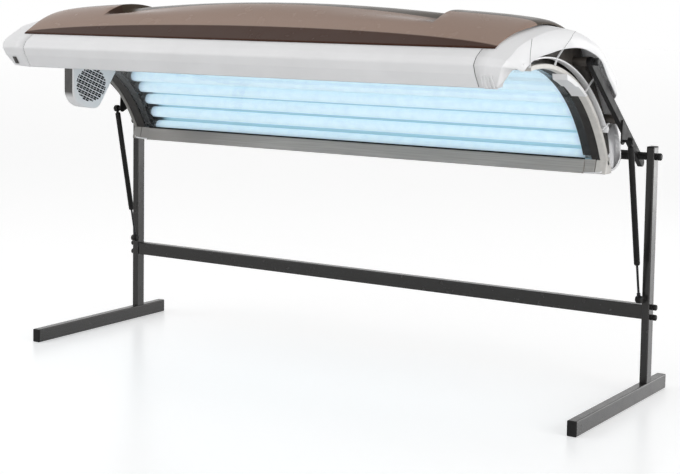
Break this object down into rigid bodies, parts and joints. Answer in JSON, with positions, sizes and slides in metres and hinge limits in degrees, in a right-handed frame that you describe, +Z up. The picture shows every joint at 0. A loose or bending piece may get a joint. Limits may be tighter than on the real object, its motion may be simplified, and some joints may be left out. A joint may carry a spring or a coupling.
{
  "type": "half-body tanning canopy",
  "caption": "Arched tanning canopy of fluorescent lamps on a tube stand, with swinging arms, gas springs and a face fan.",
  "frame": {"origin": "on the floor, at the middle of the part's box", "axes": "+Z up, +X along the canopy to the user's view's right, -Y toward the open front of the arch"},
  "size_m": [2.1216, 0.968, 1.2155],
  "materials": {
    "grey_steel": "dark grey metallic powder coat",
    "black_plastic": "fine matte grain",
    "black_steel": "satin black",
    "bright_rod": "ground and polished",
    "white_plastic": "semi-gloss",
    "brown_shield": "glossy metallic brown",
    "grey_profile": "satin anodised",
    "reflector": "bright rolled sheet",
    "acrylic": "clear",
    "lamp": "pale blue phosphor, lit",
    "dark_panel": "matte",
    "dark_steel": "matte dark grey",
    "zinc_plate": "zinc plated"
  },
  "bodies": {
    "stand": {"crossbar": "grey_steel", "left_foot": "grey_steel", "left_foot_front_cap": "black_plastic", "left_foot_rear_cap": "black_plastic", "left_post": "grey_steel", "left_post_cap": "black_plastic", "left_upper_bar_bolt": "black_plastic", "left_lower_bar_bolt": "black_plastic", "left_axle_bolt": "black_plastic", "right_foot": "grey_steel", "right_foot_front_cap": "black_plastic", "right_foot_rear_cap": "black_plastic", "right_post": "grey_steel", "right_post_cap": "black_plastic", "right_upper_bar_bolt": "black_plastic", "right_lower_bar_bolt": "black_plastic", "right_axle_bolt": "black_plastic"},
    "left_rod": {"left_spring_rod": "bright_rod"},
    "left_cylinder": {"left_spring_cylinder": "black_steel"},
    "right_rod": {"right_spring_rod": "bright_rod"},
    "right_cylinder": {"right_spring_cylinder": "black_steel"},
    "fan_rotor": {"fan_rotor": "black_plastic"},
    "canopy": {"acrylic_sheet": "acrylic", "ballast_tray": "zinc_plate", "end_clip": "white_plastic", "fan_cover": "white_plastic", "fan_housing": "dark_panel", "fan_motor": "dark_panel", "front_lip": "white_plastic", "lamp_01": "lamp", "lamp_02": "lamp", "lamp_03": "lamp", "lamp_04": "lamp", "lamp_05": "lamp", "lamp_06": "lamp", "lamp_07": "lamp", "lamp_08": "lamp", "lamp_09": "lamp", "lamp_10": "lamp", "lamp_11": "lamp", "lamp_12": "lamp", "left_arch_frame": "grey_profile", "left_arm": "black_steel", "left_arm_bolt": "black_plastic", "left_end_cap": "white_plastic", "left_end_plate": "dark_steel", "left_lamp_cover": "dark_panel", "rear_profile": "grey_profile", "rear_skin": "white_plastic", "reflector": "reflector", "right_arch_frame": "grey_profile", "right_arm": "black_steel", "right_arm_bolt": "black_plastic", "right_end_cap": "white_plastic", "right_end_plate": "dark_steel", "right_lamp_cover": "dark_panel", "top_shield": "brown_shield", "torsion_tube": "black_steel"}
  },
  "joints": [
    {"name": "canopy_lift", "type": "hinge", "parent": "stand", "child": "canopy", "pos_m": [0, 0.34297, 0.757], "axis": [1, 0, 0], "range_deg": [0, 35]},
    {"name": "left_spring_swing", "type": "hinge", "parent": "stand", "child": "left_rod", "pos_m": [-1.0145, 0.30697, 0.312], "axis": [1, 0, 0], "range_deg": [0, 5]},
    {"name": "left_spring_stroke", "type": "slide", "parent": "left_rod", "child": "left_cylinder", "axis": [0, -0.2119, 0.9773], "range_m": [-0.09, 0]},
    {"name": "right_spring_swing", "type": "hinge", "parent": "stand", "child": "right_rod", "pos_m": [1.0145, 0.30697, 0.312], "axis": [1, 0, 0], "range_deg": [0, 5]},
    {"name": "right_spring_stroke", "type": "slide", "parent": "right_rod", "child": "right_cylinder", "axis": [0, -0.2119, 0.9773], "range_m": [-0.09, 0]},
    {"name": "fan_spin", "type": "hinge", "parent": "canopy", "child": "fan_rotor", "pos_m": [-0.9052, -0.09672, 0.91904], "axis": [0.9659, -0.2588, 0], "continuous": true}
  ],
  "couplings": [
    {"joint": "left_spring_swing", "follows": "canopy_lift", "ratio": 0.11252},
    {"joint": "left_spring_stroke", "follows": "canopy_lift", "m_per_rad": -0.14342},
    {"joint": "right_spring_swing", "follows": "canopy_lift", "ratio": 0.11252},
    {"joint": "right_spring_stroke", "follows": "canopy_lift", "m_per_rad": -0.14342}
  ]
}
